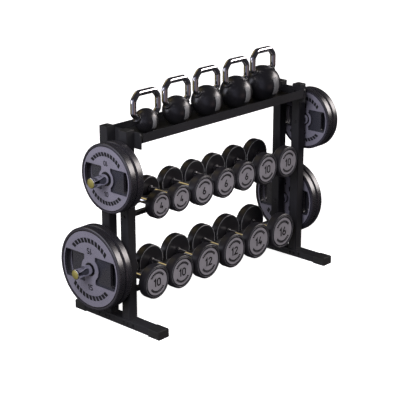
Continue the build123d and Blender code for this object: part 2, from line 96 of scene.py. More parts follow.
# Colours of a weight plate, the first two between a darker and a lighter tone
PLATE_RIM_COLOURS = ((0.010, 0.0095, 0.012), (0.016, 0.015, 0.018))
PLATE_FACE_COLOURS = ((0.118, 0.112, 0.142), (0.138, 0.131, 0.166))
PLATE_RING_COLOUR = (0.032, 0.030, 0.042)
PLATE_WINDOW_COLOUR = (0.023, 0.023, 0.030)

# Steel bush in the bore of a weight plate
BUSH_INNER = 0.0257
BUSH_OUTER = 0.0316
BUSH_DROP = 0.0062
BUSH_HEIGHT = 0.0030
BUSH_BEVEL = 0.0008

# Kettlebells
KETTLEBELL_COUNT = 5

# Badge on a kettlebell, as fractions of the ball's radius
BADGE_WIDTH = 0.40
BADGE_TOP = 0.45
BADGE_BOTTOM = -0.51
BADGE_CORNER = 0.10
# In metres: rise of the moulded pad and of the badge on it, the badge's bevel, mesh step and sunk depth
PAD_RISE = 0.0012
BADGE_RISE = 0.0008
BADGE_EDGE = 0.0006
BADGE_STEP = 0.002
BADGE_SINK = 0.0010

# Legs of a kettlebell handle, where they enter the ball
BASE_CUT = 0.0055
LOOP_HALF_WIDTH = 0.0795
LEG_END_BELOW_TOP = 0.0145
COLLAR_MIDDLE = 0.0199
COLLAR_HEIGHT = 0.005
COLLAR_TRIM = 0.0016

# Horns, with the dished insert in each end as (radius, height) points
STOP_RING_RADIUS = 0.029
INSERT_PROFILE = ((0, -0.0005), (0.020, -0.0005), (0.020, 0.0002), (0.019, 0.0008), (0, 0.0014))


# Shader building


def node_of(tree, kind, inputs=(), **settings):
    """Add a node, set its properties and its input values, and return it."""
    node = tree.nodes.new(kind)
    for name, value in settings.items():
        setattr(node, name, value)
    for name, value in dict(inputs).items():
        node.inputs[name].default_value = value
    return node


def link(tree, source, target):
    """Join an output socket to an input socket."""
    tree.links.new(source, target)


def new_material(name):
    """An empty node material with its shader and its object coordinates."""
    material = bpy.data.materials.new(name)
    material.use_nodes = True
    tree = material.node_tree
    tree.nodes.clear()
    shader = node_of(tree, "ShaderNodeBsdfPrincipled")
    output = node_of(tree, "ShaderNodeOutputMaterial")
    link(tree, shader.outputs["BSDF"], output.inputs["Surface"])
    coordinates = node_of(tree, "ShaderNodeTexCoord")
    return material, tree, shader, coordinates.outputs["Object"]


def noise(tree, vector, scale, detail=3.0, roughness=0.55):
    """A noise texture's value output."""
    node = node_of(
        tree, "ShaderNodeTexNoise", {"Scale": scale, "Detail": detail, "Roughness": roughness}
    )
    link(tree, vector, node.inputs["Vector"])
    return node.outputs["Fac"]


def spread(tree, value, low, high, from_low=0.3, from_high=0.7):
    """A value mapped from one range to another."""
    node = node_of(
        tree,
        "ShaderNodeMapRange",
        {"From Min": from_low, "From Max": from_high, "To Min": low, "To Max": high},
    )
    link(tree, value, node.inputs["Value"])
    return node.outputs["Result"]


def mix_colours(tree, factor, first, second):
    """A colour between two, each given as a socket or as red, green and blue."""
    node = node_of(tree, "ShaderNodeMix", data_type="RGBA")
    link(tree, factor, node.inputs[0])
    for place, colour in ((6, first), (7, second)):
        if isinstance(colour, tuple):
            node.inputs[place].default_value = (*colour, 1)
        else:
            link(tree, colour, node.inputs[place])
    return node.outputs[2]


def math_of(tree, operation, *values):
    """A math node on sockets or numbers."""
    node = node_of(tree, "ShaderNodeMath", operation=operation)
    for place, value in enumerate(values):
        if isinstance(value, float):
            node.inputs[place].default_value = value
        else:
            link(tree, value, node.inputs[place])
    return node.outputs["Value"]


def add_bump(tree, shader, height, strength, distance):
    """Drive the shader's normal by a height."""
    node = node_of(tree, "ShaderNodeBump", {"Strength": strength, "Distance": distance})
    link(tree, height, node.inputs["Height"])
    link(tree, node.outputs["Normal"], shader.inputs["Normal"])


def surface(
    name, dark, light, roughness, grain_scale, bump, metallic=0.0, specular=0.5, blotch_scale=6.0
):
    """A surface with uneven colour, uneven gloss and a fine grain."""
    material, tree, shader, vector = new_material(name)
    blotches = noise(tree, vector, blotch_scale)
    grain = noise(tree, vector, grain_scale, detail=2.0)
    colour = mix_colours(tree, spread(tree, blotches, 0, 1), dark, light)
    link(tree, colour, shader.inputs["Base Color"])
    link(tree, spread(tree, grain, roughness[0], roughness[1]), shader.inputs["Roughness"])
    shader.inputs["Metallic"].default_value = metallic
    shader.inputs["Specular IOR Level"].default_value = specular
    add_bump(tree, shader, grain, bump[0], bump[1])
    return material


def frame_paint():
    """Black satin powder coat with a fine orange-peel texture."""
    return surface(
        "frame paint",
        (0.012, 0.012, 0.0135),
        (0.0165, 0.016, 0.0185),
        (0.44, 0.54),
        900,
        (0.25, 0.0004),
        specular=0.25,
    )


def rail_paint():
    """The same coat on the rails, rubbed a little smoother by the handles."""
    return surface(
        "rail paint", (0.010, 0.010, 0.011), (0.016, 0.015, 0.016), (0.34, 0.46), 900, (0.2, 0.0004)
    )


def moulded_plastic():
    """Black moulded plastic with a leathery grain."""
    return surface(
        "moulded plastic", (0.007, 0.007, 0.008), (0.012, 0.012, 0.012), (0.45, 0.6), 600, (0.4, 0.0005)
    )


def mat_rubber():
    """Dull black rubber matting."""
    return surface(
        "mat rubber", (0.006, 0.006, 0.006), (0.011, 0.011, 0.011), (0.7, 0.85), 400, (0.6, 0.0008)
    )


def head_rubber():
    """Smooth black rubber of the dumbbell heads, with a faint violet sheen."""
    return surface(
        "head rubber", (0.010, 0.0095, 0.011), (0.015, 0.014, 0.017), (0.30, 0.40), 500, (0.15, 0.0004)
    )


def ball_rubber():
    """Satin black rubber of the kettlebells."""
    return surface(
        "ball rubber",
        (0.0045, 0.0045, 0.0055),
        (0.008, 0.0075, 0.009),
        (0.26, 0.33),
        500,
        (0.10, 0.0003),
        specular=0.85,
    )


def disc_rubber():
    """Grey rubber of the discs on the dumbbell heads."""
    return surface(
        "disc rubber",
        (0.205, 0.195, 0.212),
        (0.240, 0.229, 0.249),
        (0.5, 0.6),
        700,
        (0.2, 0.0004),
        blotch_scale=25,
    )


def bead_rubber():
    """Glossy light grey ring round the inner edge of each dumbbell head: a painted highlight along that edge.
    """
    return surface(
        "painted edge highlight",
        # Light greys painted on as the highlight along each head's inner edge
        (0.24, 0.24, 0.25),
        (0.30, 0.30, 0.31),
        (0.2, 0.3),
        500,
        (0.1, 0.0003),
        blotch_scale=25,
    )


def disc_edge():
    """Raised lip on the rubber round each disc, a little darker than the disc."""
    return surface(
        "disc edge",
        (0.11, 0.107, 0.115),
        (0.14, 0.136, 0.146),
        (0.3, 0.4),
        700,
        (0.1, 0.0003),
        blotch_scale=25,
    )


def collar_black():
    """Polished black trim where a kettlebell's handle enters its ball."""
    return surface(
        "collar black",
        (0.02, 0.02, 0.021),
        (0.03, 0.03, 0.032),
        (0.10, 0.16),
        300,
        (0.02, 0.0002),
        specular=0.8,
    )


def badge_grey():
    """Light grey badge on the kettlebells."""
    return surface(
        "badge grey",
        (0.11, 0.11, 0.113),
        (0.14, 0.14, 0.144),
        (0.34, 0.44),
        700,
        (0.15, 0.0003),
        specular=0.35,
        blotch_scale=25,
    )


def ink():
    """Matte black of the numbers and marks."""
    return surface(
        "black ink",
        (0.0035, 0.0035, 0.004),
        (0.006, 0.006, 0.0065),
        (0.55, 0.65),
        800,
        (0.1, 0.0002),
        specular=0.25,
        blotch_scale=60,
    )


def chrome():
    """Polished chrome with faint wiping marks."""
    return surface(
        "chrome", (0.70, 0.70, 0.72), (0.80, 0.80, 0.82), (0.05, 0.12), 60, (0.02, 0.0002), metallic=1.0
    )


def ferrule_steel():
    """Satin steel of the cones on the dumbbell handles."""
    return surface(
        "ferrule steel",
        (0.24, 0.24, 0.245),
        (0.30, 0.30, 0.31),
        (0.35, 0.45),
        300,
        (0.05, 0.0002),
        metallic=1.0,
    )


def cap_gold():
    """Olive-gold insert in the end of each horn."""
    return surface(
        "cap gold", (0.19, 0.165, 0.045), (0.26, 0.225, 0.07), (0.3, 0.4), 500, (0.1, 0.0002), metallic=0.4
    )


def bolt_steel():
    """Dark zinc-plated steel of the bolts."""
    return surface(
        "bolt steel",
        (0.035, 0.035, 0.037),
        (0.06, 0.06, 0.063),
        (0.4, 0.5),
        300,
        (0.1, 0.0002),
        metallic=0.9,
    )


def within(tree, value, edge, blend, radius):
    """One inside a fraction of a radius, fading to zero over a further fraction."""
    return spread(tree, value, 1, 0, edge * radius, (edge + blend) * radius)


def distances(tree, vector, centre):
    """Distance from a plate's axis, and distance from the middle of its thickness."""
    shift = node_of(tree, "ShaderNodeVectorMath", operation="SUBTRACT")
    shift.inputs[1].default_value = centre
    link(tree, vector, shift.inputs[0])
    parts = node_of(tree, "ShaderNodeSeparateXYZ")
    link(tree, shift.outputs["Vector"], parts.inputs["Vector"])
    flat = node_of(tree, "ShaderNodeCombineXYZ")
    link(tree, parts.outputs["Y"], flat.inputs["Y"])
    link(tree, parts.outputs["Z"], flat.inputs["Z"])
    length = node_of(tree, "ShaderNodeVectorMath", operation="LENGTH")
    link(tree, flat.outputs["Vector"], length.inputs[0])
    return length.outputs["Value"], math_of(tree, "ABSOLUTE", parts.outputs["X"])


def plate_rubber(name, centre, radius, half):
    """Rubber of a weight plate: black rim, violet-grey face and ring, darker recessed windows."""
    material, tree, shader, vector = new_material(name)
    from_axis, from_middle = distances(tree, vector, centre)
    on_face = spread(tree, from_middle, 0, 1, half - 0.0022, half - 0.0017)
    inside_rim = within(tree, from_axis, FACE_EDGE, REGION_BLEND, radius)
    past_bore = spread(tree, from_axis, 0, 1, PLATE_SEAT_RADIUS + 0.0005, PLATE_SEAT_RADIUS + 0.001)
    is_face = math_of(tree, "MULTIPLY", math_of(tree, "MULTIPLY", on_face, inside_rim), past_bore)
    inside_windows = within(tree, from_axis, WINDOW_EDGE, REGION_BLEND, radius)
    web = half - PLATE_RECESS
    out_of_slots = spread(tree, from_middle, 0, 1, web - 0.0006, web - 0.0001)
    is_window = math_of(tree, "MULTIPLY", inside_windows, out_of_slots)
    past_groove = spread(tree, from_axis, 0, 1, RING_INNER * radius, (RING_INNER + REGION_BLEND) * radius)
    inside_round = within(tree, from_axis, RING_OUTER, 0.01, radius)
    is_ring = math_of(tree, "MULTIPLY", past_groove, inside_round)
    blotches = spread(tree, noise(tree, vector, 9.0), 0, 1)
    rim_colour = mix_colours(tree, blotches, *PLATE_RIM_COLOURS)
    face_colour = mix_colours(tree, blotches, *PLATE_FACE_COLOURS)
    colour = mix_colours(tree, is_ring, rim_colour, PLATE_RING_COLOUR)
    colour = mix_colours(tree, is_window, colour, PLATE_WINDOW_COLOUR)
    colour = mix_colours(tree, is_face, colour, face_colour)
    link(tree, colour, shader.inputs["Base Color"])
    grain = noise(tree, vector, 600, detail=2.0)
    link(tree, spread(tree, grain, 0.24, 0.31), shader.inputs["Roughness"])
    tread_shine = spread(tree, from_axis, 0.4, 1.0, TREAD_EDGE * radius, (TREAD_EDGE + 0.02) * radius)
    link(tree, tread_shine, shader.inputs["Specular IOR Level"])
    add_bump(tree, shader, grain, 0.2, 0.0004)
    return material


MATERIALS = {
    "frame": frame_paint(),
    "rail": rail_paint(),
    "plastic": moulded_plastic(),
    "mat": mat_rubber(),
    "head": head_rubber(),
    "ball": ball_rubber(),
    "disc": disc_rubber(),
    "disc_edge": disc_edge(),
    # Light grey ring that paints the highlight on each head's inner edge
    "edge_highlight": bead_rubber(),
    "collar": collar_black(),
    "badge": badge_grey(),
    "ink": ink(),
    "chrome": chrome(),
    "gold": cap_gold(),
    "ferrule": ferrule_steel(),
    "bolt": bolt_steel(),
}


def paint_node(name, material):
    """Give a CAD node a material in place of its packed one."""
    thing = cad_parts[name]
    for place in thing.material_slots:
        place.link = "OBJECT"
        place.material = material


def paint_frame():
    """Materials of the rack itself."""
    looks = {
        "foot_beam": "frame",
        "upright_front": "frame",
        "upright_rear": "frame",
        "kettlebell_tray": "frame",
        "tray_end_plate": "frame",
        "upper_rails": "rail",
        "lower_rails": "rail",
        "foot_end_caps": "plastic",
        "upright_top_caps": "plastic",
        "tray_mat": "mat",
        "weight_horns": "chrome",
        "frame_bolts": "bolt",
    }
    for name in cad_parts:
        for start, look in looks.items():
            if name.startswith(start):
                paint_node(name, MATERIALS[look])


# Mesh building


def add_piece(name, mesh, material, body, smooth_angle=None):
    """Link a finished mesh as a piece that rides on a body."""
    piece = bpy.data.objects.new(name, mesh)
    bpy.context.scene.collection.objects.link(piece)
    mesh.materials.append(material)
    if smooth_angle is not None:
        mesh.polygons.foreach_set("use_smooth", [True] * len(mesh.polygons))
        mesh.set_sharp_from_angle(angle=math.radians(smooth_angle))
    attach(piece, body)
    return piece


def lathe(profile, place, segments=96):
    """Closed solid of revolution about the local Z of a placing matrix, from (radius, height) points."""
    shape = bmesh.new()
    rings = []
    for radius, height in profile:
        if radius == 0:
            rings.append([shape.verts.new(place @ Vector((0, 0, height)))])
            continue
        ring = []
        for step in range(segments):
            angle = 2 * math.pi * step / segments
            spot = Vector((radius * math.cos(angle), radius * math.sin(angle), height))
            ring.append(shape.verts.new(place @ spot))
        rings.append(ring)
    for first, second in zip(rings, rings[1:]):
        for step in range(segments):
            following = (step + 1) % segments
            a, b = first[step % len(first)], first[following % len(first)]
            c, d = second[following % len(second)], second[step % len(second)]
            corners = [a] + ([b] if b is not a else []) + ([c] if c is not d else []) + [d]
            shape.faces.new(corners)
    bmesh.ops.recalc_face_normals(shape, faces=shape.faces)
    mesh = bpy.data.meshes.new("lathe")
    shape.to_mesh(mesh)
    shape.free()
    return mesh


def circle_profile(middle, radius, steps):
    """Closed round profile for a ring, at a distance from the axis."""
    profile = []
    for step in range(steps + 1):
        angle = 2 * math.pi * step / steps
        profile.append((middle + radius * math.cos(angle), radius * math.sin(angle)))
    return profile


def prisms(outlines, place, bottom, top):
    """Straight-sided solids between two heights on the local XY plane of a placing matrix."""
    shape = bmesh.new()
    for outline in outlines:
        low = [shape.verts.new(place @ Vector((x, y, bottom))) for x, y in outline]
        high = [shape.verts.new(place @ Vector((x, y, top))) for x, y in outline]
        shape.faces.new(high)
        shape.faces.new(low[::-1])
        for step in range(len(outline)):
            following = (step + 1) % len(outline)
            shape.faces.new((low[step], low[following], high[following], high[step]))
    bmesh.ops.recalc_face_normals(shape, faces=shape.faces)
    mesh = bpy.data.meshes.new("prisms")
    shape.to_mesh(mesh)
    shape.free()
    return mesh


def arc_path(x, y, across, up, start, end, steps=14):
    """Points along an elliptical arc between two angles in degrees."""
    points = []
    for step in range(steps + 1):
        angle = math.radians(start + (end - start) * step / steps)
        points.append((x + across * math.cos(angle), y + up * math.sin(angle)))
    return points


# Each digit is a list of strokes in a box 1 high and centred on X: points, and whether they close
DIGIT_STROKES = {
    "0": [(arc_path(0, 0.72, 0.21, 0.21, 0, 180) + arc_path(0, 0.28, 0.21, 0.21, 180, 360), True)],
    "1": [([(-0.15, 0.72), (0.06, 0.925), (0.06, 0.0)], False)],
    "2": [(arc_path(0, 0.71, 0.21, 0.21, 170, -35) + [(-0.20, 0.075), (0.29, 0.075)], False)],
    "4": [([(0.05, 1.0), (-0.20, 0.27), (0.30, 0.27)], False), ([(0.12, 0.50), (0.12, 0.0)], False)],
    "5": [
        ([(0.25, 0.925), (-0.17, 0.925), (-0.17, 0.53)] + arc_path(0, 0.315, 0.22, 0.24, 120, -150), False),
    ],
    "6": [
        (arc_path(0, 0.30, 0.215, 0.225, 0, 360)[:-1], True),
        ([(0.10, 1.0), (-0.12, 0.62), (-0.205, 0.36)], False),
    ],
}
# Digit sizes as fractions of a digit's height
DIGIT_SPREAD = 1.15
DIGIT_WIDTH = 0.64
DIGIT_NARROW = 0.38
DIGIT_GAP = 0.12
DIGIT_STROKE = 0.18


def add_stroke(shape, points, closed, place, width, thickness):
    """Add a flat ribbon of even width along a path on the local XY plane."""
    points = [Vector(point) for point in points]
    count = len(points)
    rows = []
    for step, point in enumerate(points):
        before = points[step - 1] if closed or step > 0 else point
        after = points[(step + 1) % count] if closed or step < count - 1 else point
        arriving = (point - before).normalized() if point != before else (after - point).normalized()
        leaving = (after - point).normalized() if after != point else arriving
        middle = (arriving + leaving).normalized()
        normal = Vector((-middle.y, middle.x))
        reach = width / 2 / max(0.4, middle.dot(arriving))
        corners = [(point - normal * reach, 0), (point + normal * reach, 0)]
        corners += [(spot, thickness) for spot, level in reversed(corners)]
        rows.append([shape.verts.new(place @ Vector((spot.x, spot.y, level))) for spot, level in corners])
    pairs = list(zip(rows, rows[1:]))
    if closed:
        pairs.append((rows[-1], rows[0]))
    else:
        shape.faces.new(rows[0])
        shape.faces.new(rows[-1][::-1])
    for first, second in pairs:
        for side in range(4):
            following = (side + 1) % 4
            shape.faces.new((first[side], first[following], second[following], second[side]))


def number_mesh(number, height, place, thickness, turned=False, at=(0, 0)):
    """Solid digits of a given height, centred at a point on the local XY plane."""
    spin = Matrix.Rotation(math.pi if turned else 0, 4, "Z")
    base = place @ Matrix.Translation((at[0], at[1], 0)) @ spin
    widths = [DIGIT_NARROW if digit == "1" else DIGIT_WIDTH for digit in str(number)]
    left = -(sum(widths) + DIGIT_GAP * (len(widths) - 1)) / 2
    shape = bmesh.new()
    for digit, width in zip(str(number), widths):
        shift = left + width / 2
        left += width + DIGIT_GAP
        for points, closed in DIGIT_STROKES[digit]:
            moved = [((x * DIGIT_SPREAD + shift) * height, (y - 0.5) * height) for x, y in points]
            add_stroke(shape, moved, closed, base, DIGIT_STROKE * height, thickness)
    bmesh.ops.recalc_face_normals(shape, faces=shape.faces)
    mesh = bpy.data.meshes.new("number")
    shape.to_mesh(mesh)
    shape.free()
    return mesh


def arc_marks(radius, marks):
    """Outlines of slanted marks in two arcs, above and below the centre of a face."""
    half_width = marks["width"] * radius / 2
    half_height = marks["height"] * radius / 2
    lean = marks["lean"] * radius / 2
    outlines = []
    for base in (90, 270):
        for step in range(MARK_COUNT):
            angle = math.radians(base + marks["half_angle"] * (2 * step / (MARK_COUNT - 1) - 1))
            along = Vector((-math.sin(angle), math.cos(angle)))
            out = Vector((math.cos(angle), math.sin(angle)))
            corners = []
            for side, level in ((-1, -1), (1, -1), (1, 1), (-1, 1)):
                reach = marks["radius"] * radius + level * half_height
                point = out * reach + along * (side * half_width + level * lean)
                corners.append((point.x, point.y))
            outlines.append(corners)
    return outlines


def merge(name, meshes):
    """Several meshes as one."""
    shape = bmesh.new()
    for mesh in meshes:
        shape.from_mesh(mesh)
    joined = bpy.data.meshes.new(name)
    shape.to_mesh(joined)
    shape.free()
    return joined


def facing(origin, across, up):
    """Matrix whose local X, Y and Z are across a face, up it, and out of it."""
    x = Vector(across)
    y = Vector(up)
    z = x.cross(y)
    return Matrix.Translation(origin) @ Matrix((x, y, z)).transposed().to_4x4()


# Dumbbells


def dress_head(name, body, number, centre, radius, face_y, end):
    """Grey disc, number and arc marks on one end of a dumbbell."""
    place = facing((centre.x, face_y, centre.z), (-end, 0, 0), (0, 0, 1))
    edge = DISC_RADIUS * radius
    bevel = DISC_BEVEL
    profile = [
        (0, -bevel),
        (edge, -bevel),
        (edge, DISC_RISE - bevel),
        (edge - bevel, DISC_RISE),
        (0, DISC_RISE),
    ]
    add_piece(f"{name}_disc", lathe(profile, place), MATERIALS["disc"], body, 30)
    inner = LIP_INNER * radius
    outer = LIP_OUTER * radius
    ring = [
        (inner, -bevel),
        (outer, -bevel),
        (outer, 0),
        (outer - LIP_RISE, LIP_RISE),
        (inner + LIP_RISE / 2, LIP_RISE),
        (inner, LIP_RISE / 2),
        (inner, -bevel),
    ]
    add_piece(f"{name}_disc_edge", lathe(ring, place), MATERIALS["disc_edge"], body, 30)
    top = place @ Matrix.Translation((0, 0, DISC_RISE))
    digits = number_mesh(number, DISC_NUMBER_HEIGHT * radius, top, INK_THICKNESS)
    outlines = arc_marks(radius, DISC_MARKS)
    marks = prisms(outlines, top, 0, INK_THICKNESS)
    add_piece(f"{name}_number", merge("number", [digits, marks]), MATERIALS["ink"], body)


def ferrule(centre, head_face, inward):
    """Steel cone round the handle where it enters a head."""
    place = facing((centre.x, head_face, centre.z), (inward, 0, 0), (0, 0, -1))
    profile = [
        (HANDLE_RADIUS, 0),
        (FERRULE_RADIUS, 0),
        (FERRULE_RADIUS, FERRULE_RIM),
        (FERRULE_RADIUS - FERRULE_BEVEL, FERRULE_RIM + FERRULE_BEVEL),
        (HANDLE_RADIUS + FERRULE_NOSE, FERRULE_LENGTH),
        (HANDLE_RADIUS, FERRULE_LENGTH),
        (HANDLE_RADIUS, 0),
    ]
    return lathe(profile, place)


def head_bead(centre, radius, inner_face, inward):
    """Thin raised ring on the inner edge of a head, which carries the painted highlight along that edge."""
    place = facing((centre.x, inner_face, centre.z), (inward, 0, 0), (0, 0, -1))
    edge = radius - HEAD_INNER_ROUND
    return lathe(circle_profile(edge, EDGE_HIGHLIGHT_RADIUS, 8), place)


def dress_dumbbells():
    """Materials, discs and numbers of every dumbbell."""
    for tier, numbers in DUMBBELL_NUMBERS.items():
        for place, number in enumerate(numbers, start=1):
            body = f"{tier}_dumbbell_{place}"
            paint_node(body + "_handle", MATERIALS["chrome"])
            paint_node(body + "_heads", MATERIALS["head"])
            low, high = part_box(body + "_heads")
            centre = (low + high) / 2
            radius = (high.x - low.x) / 2
            dress_head(body + "_front", body, number, centre, radius, low.y, -1)
            dress_head(body + "_back", body, number, centre, radius, high.y, 1)
            for end_name, end, outer_face in (("front", -1, low.y), ("back", 1, high.y)):
                inner_face = outer_face - end * HEAD_THICKNESS
                cone = ferrule(centre, inner_face - end * HEAD_BOSS, -end)
                add_piece(f"{body}_{end_name}_ferrule", cone, MATERIALS["ferrule"], body, 30)
                # Light grey ring on the inner edge: a painted highlight along that edge
                edge_highlight = head_bead(centre, radius, inner_face, -end)
                add_piece(f"{body}_{end_name}_bead", edge_highlight, MATERIALS["edge_highlight"], body, 60)


# Weight plates


def dress_plate_face(name, body, number, centre, radius, face_x, side):
    """Numbers and arc marks on one face of a weight plate."""
    place = facing((face_x, centre.y, centre.z), (0, side, 0), (0, 0, 1))
    top = place @ Matrix.Translation((0, 0, -PLATE_FACE_DROP))
    height = PLATE_NUMBER_HEIGHT * radius
    reach = PLATE_NUMBER_RADIUS * radius
    upper = number_mesh(number, height, top, INK_THICKNESS, turned=True, at=(0, reach))
    lower = number_mesh(number, height, top, INK_THICKNESS, at=(0, -reach))
    outlines = arc_marks(radius, PLATE_MARKS)
    marks = prisms(outlines, top, 0, INK_THICKNESS)
    add_piece(name + "_marks", merge("marks", [upper, lower, marks]), MATERIALS["ink"], body)
    seat = place @ Matrix.Translation((0, 0, -PLATE_FACE_DROP - BUSH_DROP))
    bevel = BUSH_BEVEL
    profile = [
        (BUSH_INNER, 0),
        (BUSH_OUTER, 0),
        (BUSH_OUTER, BUSH_HEIGHT - bevel),
        (BUSH_OUTER - bevel, BUSH_HEIGHT),
        (BUSH_INNER + bevel, BUSH_HEIGHT),
        (BUSH_INNER, BUSH_HEIGHT - bevel),
        (BUSH_INNER, 0),
    ]
    add_piece(name + "_bush", lathe(profile, seat), MATERIALS["bolt"], body, 30)


def dress_plates():
    """Materials, numbers and marks of every weight plate."""
    for tier, number in PLATE_NUMBERS.items():
        for side_name, side in SIDES.items():
            for word in ("inner", "outer"):
                body = f"{tier}_plate_{side_name}_{word}"
                low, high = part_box(body)
                centre = (low + high) / 2
                radius = (high.y - low.y) / 2
                half = (high.x - low.x) / 2
                paint_node(body, plate_rubber(body + " rubber", centre, radius, half))
                dress_plate_face(body + "_outer", body, number, centre, radius, centre.x + side * half, side)
                dress_plate_face(body + "_inner", body, number, centre, radius, centre.x - side * half, -side)


# Kettlebells


def rounded_rectangle(width, height, corner, steps=8):
    """Outline of a rectangle with round corners."""
    points = []
    for quarter, (sx, sy) in enumerate(((1, 1), (-1, 1), (-1, -1), (1, -1))):
        for step in range(steps + 1):
            angle = math.radians(90 * quarter + 90 * step / steps)
            x = sx * (width / 2 - corner) + corner * math.cos(angle)
            y = sy * (height / 2 - corner) + corner * math.sin(angle)
            points.append((x, y))
    return points


def divided(outline, step):
    """The same closed outline with its long sides cut into short ones."""
    points = []
    for first, second in zip(outline, outline[1:] + outline[:1]):
        length = math.dist(first, second)
        if length < 1e-7:
            continue
        count = max(1, math.ceil(length / step))
        for part in range(count):
            share = part / count
            points.append(tuple(a + (b - a) * share for a, b in zip(first, second)))
    return points


def badge_mesh(centre, radius):
    """Thin curved badge that follows the front of a ball."""
    height = (BADGE_TOP - BADGE_BOTTOM) * radius
    corners = rounded_rectangle(BADGE_WIDTH * radius, height, BADGE_CORNER * radius)
    outline = divided(corners, BADGE_STEP)
    middle = (BADGE_TOP + BADGE_BOTTOM) / 2 * radius
    layers = [(-BADGE_SINK, 0.0), (BADGE_RISE - BADGE_EDGE, 0.0), (BADGE_RISE, BADGE_EDGE)]
    shape = bmesh.new()

    def loop_at(level, inset, share=1.0):
        """One ring of points on the ball, shrunk towards the badge's middle."""
        points = []
        for x, z in outline:
            length = math.hypot(x, z)
            scale = share * (1 - inset / length)
            spot = Vector((x * scale, 0, z * scale + middle))
            out = radius + PAD_RISE + level
            spot.y = -math.sqrt(out**2 - spot.x**2 - spot.z**2)
            points.append(shape.verts.new(centre + spot))
        return points

    rings = [loop_at(level, inset) for level, inset in layers]
    rings += [loop_at(BADGE_RISE, BADGE_EDGE, share) for share in (0.85, 0.7, 0.55, 0.4, 0.25, 0.1)]
    for first, second in zip(rings, rings[1:]):
        for step in range(len(outline)):
            following = (step + 1) % len(outline)
            shape.faces.new((first[step], first[following], second[following], second[step]))
    shape.faces.new(rings[-1])
    shape.faces.new(rings[0][::-1])
    bmesh.ops.recalc_face_normals(shape, faces=shape.faces)
    mesh = bpy.data.meshes.new("badge")
    shape.to_mesh(mesh)
    shape.free()
    return mesh


def collar_trim(centre, radius, side):
    """Rounded ring round one leg of the handle, on top of the ball's collar."""
    leg_end = radius - LEG_END_BELOW_TOP
    total = LOOP_HALF_WIDTH + leg_end
    offset = LOOP_HALF_WIDTH - leg_end
    reach = (total - math.sqrt(2 * radius**2 - offset**2)) / 2
    outward = Vector((side, 0, 1)).normalized()
    surface_point = centre + Vector((side * (LOOP_HALF_WIDTH - reach), 0, leg_end - reach))
    across = Vector((0, 1, 0))
    place = facing(surface_point + outward * COLLAR_HEIGHT, across, outward.cross(across))
    return lathe(circle_profile(COLLAR_MIDDLE, COLLAR_TRIM, 12), place)


def dress_kettlebells():
    """Materials, badges and collar trims of every kettlebell."""
    for place in range(1, KETTLEBELL_COUNT + 1):
        body = f"kettlebell_{place}"
        paint_node(body + "_handle", MATERIALS["chrome"])
        paint_node(body + "_body", MATERIALS["ball"])
        low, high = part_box(body + "_body")
        centre = (low + high) / 2
        radius = (high.z - low.z + BASE_CUT) / 2
        centre.y = high.y - radius
        centre.z = low.z - BASE_CUT + radius
        add_piece(f"{body}_badge", badge_mesh(centre, radius), MATERIALS["badge"], body, 40)
        for side_name, side in SIDES.items():
            trim = collar_trim(centre, radius, side)
            add_piece(f"{body}_collar_{side_name}", trim, MATERIALS["collar"], body, 60)


# Horns


def dress_horns():
    """Gold insert in the end of each horn."""
    low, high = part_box("weight_horns")
    for tier, upright in (("upper", "upright_front"), ("lower", "upright_rear")):
        for side_name, side in SIDES.items():
            post_low, post_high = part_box(f"{upright}_{side_name}")
            y = (post_low.y + post_high.y) / 2
            z = high.z - STOP_RING_RADIUS if tier == "upper" else low.z + STOP_RING_RADIUS
            end = high.x if side > 0 else low.x
            place = facing((end, y, z), (0, side, 0), (0, 0, 1))
            name = f"horn_{tier}_{side_name}_insert"
            add_piece(name, lathe(INSERT_PROFILE, place), MATERIALS["gold"], "rack", 40)


# Studio. Azimuths of the glows run from +Y towards +X, in degrees, as do elevations from the horizon.
# The fill light's azimuth is the camera's kind: 0 looks along +Y.

STUDIO_MIDDLE = Vector((0, 0, 0.6))
FLOOR_HALF = 60
DOME_RADIUS = 55
FILL_AZIMUTH = -70
FILL_ELEVATION = 35
FILL_DISTANCE = 5.0
FILL_SIZE = 3.0
FILL_POWER = 400
FILL_COLOUR = (0.96, 0.96, 1.0)
STUDIO_DIM = (0.030, 0.0285, 0.033)
# Each glow: azimuth of its middle, half width, lowest, highest, softness, colour
STUDIO_GLOWS = (
    (122, 24, 11, 33, 4, (8.4, 7.8, 7.7)),
    (-65, 25, -6, 20, 6, (2.0, 2.0, 2.3)),
    (-48, 22, -30, -9, 5, (0.20, 0.165, 0.04)),
    (-25, 20, 30, 55, 10, (0.10, 0.08, 0.04)),
    (-4, 17, 32, 56, 14, (0.80, 0.62, 0.26)),
    (-105, 35, -30, 30, 10, (0.17, 0.17, 0.23)),
    (180, 15, -25, -3, 6, (0.25, 0.17, 0.16)),
)


def back_vector(azimuth, elevation):
    """Unit vector from the object towards a camera at these angles."""
    turn = math.radians(azimuth)
    rise = math.radians(elevation)
    return Vector((math.sin(turn) * math.cos(rise), -math.cos(turn) * math.cos(rise), math.sin(rise)))


def add_camera():
    """Camera at the product shot's angle."""
    data = bpy.data.cameras.new("camera")
    data.lens = CAMERA_LENS
    data.clip_end = 100
    camera = bpy.data.objects.new("camera", data)
    bpy.context.scene.collection.objects.link(camera)
    back = back_vector(CAMERA_AZIMUTH, CAMERA_ELEVATION)
    camera.location = CAMERA_PLACE
    camera.rotation_euler = (-back).to_track_quat("-Z", "Y").to_euler()
    bpy.context.scene.camera = camera


def add_floor():
    """Wide plain pale floor that fades into the backdrop."""
    half = FLOOR_HALF
    outline = [(-half, -half), (half, -half), (half, half), (-half, half)]
    mesh = prisms([outline], Matrix.Identity(4), -0.02, 0)
    floor = bpy.data.objects.new("floor", mesh)
    bpy.context.scene.collection.objects.link(floor)
    material, tree, shader, vector = new_material("floor white")
    shader.inputs["Base Color"].default_value = (0.85, 0.85, 0.86, 1)
    shader.inputs["Roughness"].default_value = 0.9
    shader.inputs["Specular IOR Level"].default_value = 0.1
    shader.inputs["Emission Color"].default_value = (1, 1, 1, 1)
    shader.inputs["Emission Strength"].default_value = 0.90
    mesh.materials.append(material)
    floor.visible_glossy = False
    floor.visible_diffuse = False
    floor.visible_shadow = False


